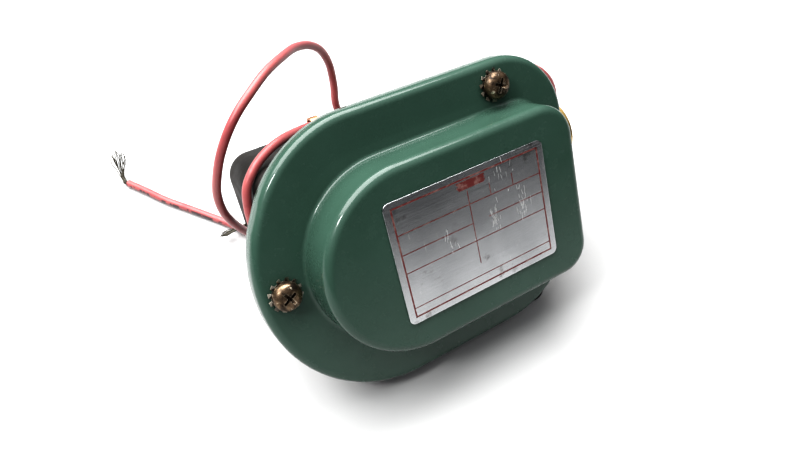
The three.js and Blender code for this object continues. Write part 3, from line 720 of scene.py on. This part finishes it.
def plate_lines():
    """Ruled boxes, as on a rating plate, with nothing written in them."""
    w = PLATE_BACK + PLATE_T + 0.02
    u0, v0 = PLATE_LOW
    wide, tall = PLATE_SIZE
    inset, foot = 2.4, 5.0
    left, right = u0 + inset, u0 + wide - inset
    low, top = v0 + inset * 0.9, v0 + tall - inset * 0.9
    rows = [v0 + tall * share for share in (0.735, 0.575, 0.425)]
    column = u0 + wide * 0.485
    lines = [
        (left, low, right, low),
        (right, low, right, top),
        (right, top, left, top),
        (left, top, left, low),
        (left, v0 + foot, right, v0 + foot),
        (left, rows[0], right, rows[0]),
        (left, rows[2], right, rows[2]),
        (left, rows[1], column, rows[1]),
        (column + 6, rows[1], right, rows[1]),
        (column, rows[2] - 7.5, column, top - 4),
        (column + 8, rows[0], column + 8, top - 4.5),
        (column + 16.5, rows[0], column + 16.5, top - 4.5),
    ]
    widths = [0.5] * 4 + [0.28] * (len(lines) - 4)
    bars = [bar(*line, width, w) for line, width in zip(lines, widths)]
    block_left, block_right = u0 + 0.43 * wide, u0 + 0.6 * wide
    for i in range(6):
        v = top - 0.9 - 0.42 * i
        bars.append(bar(block_left + 0.3 * (i % 3), v, block_right - 0.4 * (i % 2), v, 0.5, w))
    piece("plate_lines", merged(*bars), "plate_aluminium", material=PRINT)


def plate_scratches():
    """Bright scratches, mostly up and down, in a few worn places."""
    chance = random.Random(5)
    w = PLATE_BACK + PLATE_T + 0.03
    u0, v0 = PLATE_LOW
    # Each place: its share of the plate's width and height, its spread and its number of scratches.
    places = (
        (0.62, 0.52, 1.6, 26), (0.82, 0.55, 2.0, 30), (0.33, 0.5, 2.4, 10), (0.72, 0.85, 4.0, 14),
    )
    bars = []
    for share_u, share_v, spread, count in places:
        for _ in range(count):
            u = u0 + PLATE_SIZE[0] * share_u + chance.gauss(0, spread * 0.6)
            v = v0 + PLATE_SIZE[1] * share_v + chance.gauss(0, spread)
            reach = chance.uniform(0.4, 2.4)
            lean = chance.uniform(-0.25, 0.35)
            bars.append(bar(u, v, u + reach * lean, v + reach, chance.uniform(0.05, 0.16), w))
    piece("plate_scratches", merged(*bars), "plate_aluminium", material=BRIGHT)


nameplate()
plate_lines()
plate_scratches()


# ------------------------------------------------------------------ cover screws and washers
HEAD_R, HEAD_H = 4.4, 3.2
WASHER_BACK = FLANGE_H + 0.3
HEAD_BACK = WASHER_BACK + 0.8 + 0.3
# Each screw stands halfway from the flared box's foot to the rim.
SCREWS = {"left": ((-43.2 - 58.7) / 2, 3.7), "right": (32.0, (32.6 + 47.9) / 2)}


def screw(side, at, spin):
    """A pan head with a cross recess, over a plain shank."""
    u, v = at
    shank_r, rim, flat_share, dome_share, steps = 2.0, 0.9, 0.42, 0.58, 10
    domed = [(HEAD_BACK, shank_r), (HEAD_BACK, HEAD_R - 0.3), (HEAD_BACK + 0.2, HEAD_R)]
    for i in range(steps):
        a = math.pi / 2 * i / steps
        radius = HEAD_R * (flat_share + dome_share * math.cos(a))
        domed.append((HEAD_BACK + rim + (HEAD_H - rim) * math.sin(a), radius))
    domed += [(HEAD_BACK + HEAD_H, 1.0), (HEAD_BACK + HEAD_H, 0.01)]
    shank = [(HEAD_BACK - 13, 0.01), (HEAD_BACK - 13, 1.6), (HEAD_BACK - 12.4, shank_r)]
    bm = turned([*shank, *domed], ((u, v, 0), "w"), 64)
    head = piece(f"screw_{side}", bm, "tarnished_steel", [f"cover_screw_{side}"])
    deep_size, wide_size = (2.2, 0.75), (5.4, 1.05)
    for quarter in range(2):
        blade = bmesh.new()
        bmesh.ops.create_cube(blade, size=1)
        for vert in blade.verts:
            deep = vert.co.z < 0
            size_x, size_y = deep_size if deep else wide_size
            vert.co.x *= size_x
            vert.co.y *= size_y
            vert.co.z = HEAD_BACK + (1.0 if deep else HEAD_H + 0.6)
        blade.transform(Matrix.Rotation(spin + quarter * math.pi / 2, 4, "Z"))
        blade.transform(Matrix.Translation((u, v, 0)))
        blade.transform(VALVE)
        cut(head, blade)
    soft = head.modifiers.new("soft edges", "BEVEL")
    soft.width = 0.00012
    soft.segments = 2
    soft.limit_method = "ANGLE"
    bake(head)
    sharp_edges(head, 40)


def toothed_washer(side, at, spin):
    """A lock washer whose outer teeth are each twisted out of the ring's plane."""
    u, v = at
    teeth, inner, root, tip = 12, 2.6, 4.35, 5.3
    thick, twist, root_width, tip_width, overlap = 0.35, 0.3, 1.5, 1.15, 0.5
    middle = WASHER_BACK + 0.42
    ring = turned(
        [(middle - thick / 2, inner), (middle - thick / 2, root), (middle + thick / 2, root),
         (middle + thick / 2, inner), (middle - thick / 2, inner)],
        ((u, v, 0), "w"),
        72,
    )
    parts = [ring]
    for i in range(teeth):
        tooth = bmesh.new()
        bmesh.ops.create_cube(tooth, size=1)
        for vert in tooth.verts:
            outer = vert.co.x > 0
            vert.co.z = vert.co.z * thick + (vert.co.y * 2 * twist if outer else 0)
            vert.co.y *= tip_width if outer else root_width
            vert.co.x = tip if outer else root - overlap
        tooth.transform(Matrix.Rotation(spin + 2 * math.pi * i / teeth, 4, "Z"))
        tooth.transform(Matrix.Translation((u, v, middle)))
        parts.append(tooth)
    bm = merged(*parts)
    washer = piece(f"washer_{side}", bm, "spring_steel", [f"lock_washer_{side}"], smooth=False)
    soft = washer.modifiers.new("soft edges", "BEVEL")
    soft.width = 0.00006
    soft.segments = 2


for side, spin in (("left", 0.5), ("right", 1.1)):
    screw(side, SCREWS[side], spin)
    toothed_washer(side, SCREWS[side], spin / 3)


# ------------------------------------------------------------------ rear housing
def rear_housing():
    """A drawn can with soft edges, open at the front and facing the base plate."""
    edge, wall = 3.0, 2.5
    rings = [(HOUSING, -edge - 8, HOUSING_BACK), (HOUSING, -edge - 0.3, HOUSING_BACK)]
    for i in range(9):
        a = math.pi / 2 * i / 8
        rings.append((HOUSING, -edge + edge * math.sin(a), HOUSING_BACK + edge * (1 - math.cos(a))))
    rings += [(HOUSING, 0, HOUSING_BACK + edge + 0.4), (HOUSING, 0, HOUSING_FRONT - 0.3)]
    rings += [(HOUSING, -0.3, HOUSING_FRONT), (HOUSING, -wall, HOUSING_FRONT)]
    rings += [(HOUSING, -wall, HOUSING_BACK + wall + 1), (HOUSING, -wall - 1, HOUSING_BACK + wall)]
    bm = skin([ring_at(*ring) for ring in rings], True, True)
    sharp_edges(piece("housing", bm, "black_enamel", ["rear_housing"]), 50)


rear_housing()


# ------------------------------------------------------------------ brass valve body
AXIS = (0, 4.4, -19.0)
PORT = (0, 9.5, -17.0)


def thread(start, end, radius, step, inward):
    """(along, radius) pairs of a cut thread seen as fine ridges."""
    pairs = []
    turns = int(abs(end - start) / step)
    for i in range(turns):
        along = start + (end - start) * i / turns
        pairs += [(along, radius), (along + (end - start) / turns / 2, radius + inward)]
    return pairs


def valve_body():
    left, right, radius = 22.3, 50.0, 13.0
    soft = 0.8
    main = turned(
        [(left, 9.0), (left, radius - soft), (left + soft, radius), (right - soft, radius),
         (right, radius - soft), (right, 0.01)],
        (AXIS, "u"),
    )
    inlet = turned(
        [(42.0, 11.2), (51.0, 11.2), (51.0, 12.0), (70.9, 12.0), (71.5, 11.4), (71.5, 8.3),
         (70.7, 7.5), *thread(70.2, 58.0, 7.5, 1.1, 0.45), (57.5, 7.5), (49.5, 7.5)],
        (PORT, "u"),
    )
    outlet = turned(
        [(-24.0, 12.0), (-46.4, 12.0), (-47.0, 11.4), (-47.0, 7.2), (-46.2, 6.5),
         *thread(-45.8, -35.0, 6.5, 1.1, 0.45), (-34.5, 6.5), (-28.5, 6.5)],
        ((34.0, 4.4, 0), "w"),
    )
    pad = bmesh.new()
    pad_u, pad_v, pad_wide, pad_tall = 44.5, 9.0, 9, 14
    bmesh.ops.create_cube(pad, size=1)
    for vert in pad.verts:
        vert.co.x = pad_u + pad_wide * vert.co.x
        vert.co.y = pad_v + pad_tall * vert.co.y
        vert.co.z = HOUSING_FRONT if vert.co.z > 0 else AXIS[2]
    body = piece("brass_body", merged(main, inlet, outlet, pad), "brass", ["valve_body"])
    sharp_edges(body, 30)


valve_body()


# ------------------------------------------------------------------ lead bush and clip
def lead_bush():
    """A tan bush with two holes, stepped like the moulding it is."""
    v, w, spread = -12.5, -33.0, 4.4
    right = 22.3
    body = turned(
        [(17.7, 0.01), (17.7, 5.4), (17.9, 5.6), (19.2, 5.6), (19.2, 4.4), (right, 4.4),
         (right, 5.3), (right + 0.3, 5.6), (right + 1.0, 5.6), (right + 4.6, 4.3),
         (right + 5, 4.0), (right + 5, 0.01)],
        ((0, v, w), "u"),
        56,
    )
    bush = piece("lead_bush", body, "tan_rubber", ["lead_grommet"])
    for side in (-0.5, 0.5):
        drill = turned([(10, 1.7), (40, 1.7)], ((0, v, w + side * spread), "u"), 32)
        drill.transform(VALVE)
        bmesh.ops.recalc_face_normals(drill, faces=drill.faces)
        cut(bush, drill)
    sharp_edges(bush, 35)


def lead_clip():
    """A bent copper strap over one lead, with a foot on each side."""
    middle, v, w, bore, thick, wide = -14, 37.2, -34.9, 2.35, 0.7, 3.0
    foot, foot_reach, steps = 33.9, 1.5, 12
    path = [(foot, w - bore - foot_reach), (foot, w - bore), (v, w - bore)]
    for i in range(steps + 1):
        a = math.pi * (1 - i / steps)
        path.append((v + bore * math.sin(a), w + bore * math.cos(a)))
    path += [(foot, w + bore), (foot, w + bore + foot_reach)]
    bm = bmesh.new()
    edges = []
    for u in (middle - wide / 2, middle + wide / 2):
        edges.append([bm.verts.new((u, pv, pw)) for pv, pw in path])
    for i in range(len(path) - 1):
        bm.faces.new((edges[0][i], edges[0][i + 1], edges[1][i + 1], edges[1][i]))
    clip = piece("strap", bm, "copper", ["lead_clip"])
    wall = clip.modifiers.new("strap thickness", "SOLIDIFY")
    wall.thickness = thick / 1000
    wall.offset = 1
    sharp_edges(clip, 40)


lead_bush()
lead_clip()


# ------------------------------------------------------------------ floor and light
def floor():
    look = Look("floor_paper", (0.38, 0.38, 0.38), 0.7, Specular_IOR_Level=0.1)
    paper = look.colors(look.noise(6, 3), (0.375, 0.376, 0.374), (0.395, 0.395, 0.392))
    look.drive(Base_Color=paper)
    bm = bmesh.new()
    bmesh.ops.create_grid(bm, x_segments=1, y_segments=1, size=3)
    mesh = bpy.data.meshes.new("floor")
    bm.to_mesh(mesh)
    bm.free()
    obj = bpy.data.objects.new("floor", mesh)
    bpy.context.scene.collection.objects.link(obj)
    mesh.materials.append(look.material)


def area_light(name, place, target, size, power):
    data = bpy.data.lights.new(name, "AREA")
    data.shape = "RECTANGLE"
    data.size, data.size_y = size
    data.energy = power
    obj = bpy.data.objects.new(name, data)
    bpy.context.scene.collection.objects.link(obj)
    obj.location = place
    direction = Vector(target) - Vector(place)
    obj.rotation_euler = direction.to_track_quat("-Z", "Y").to_euler()


def room():
    """A bright ceiling over dark walls, which the plate and the paint reflect."""
    world = bpy.data.worlds.new("room")
    world.use_nodes = True
    nodes, links = world.node_tree.nodes, world.node_tree.links
    coords = nodes.new("ShaderNodeTexCoord").outputs["Generated"]
    split = nodes.new("ShaderNodeSeparateXYZ")
    links.new(coords, split.inputs["Vector"])
    ramp = nodes.new("ShaderNodeValToRGB")
    stops = ((0.0, 0.05), (0.28, 0.09), (0.5, 0.4), (0.85, 1.0))
    for i, (position, value) in enumerate(stops):
        element = ramp.color_ramp.elements[i] if i < 2 else ramp.color_ramp.elements.new(position)
        element.position = position
        element.color = (value, value, value * 1.03, 1)
    links.new(split.outputs["Z"], ramp.inputs["Fac"])
    links.new(ramp.outputs["Color"], nodes["Background"].inputs["Color"])
    nodes["Background"].inputs["Strength"].default_value = 0.75
    bpy.context.scene.world = world


floor()
room()
area_light("overhead", (-0.1, 0.3, 0.8), (0, 0, 0), (1.1, 0.8), 25)
area_light("left_lamp", (-0.55, -0.1, 0.65), (0, 0, 0.04), (0.14, 0.14), 3)
bpy.context.scene.view_settings.view_transform = "Standard"
bpy.context.scene.view_settings.look = "High Contrast"
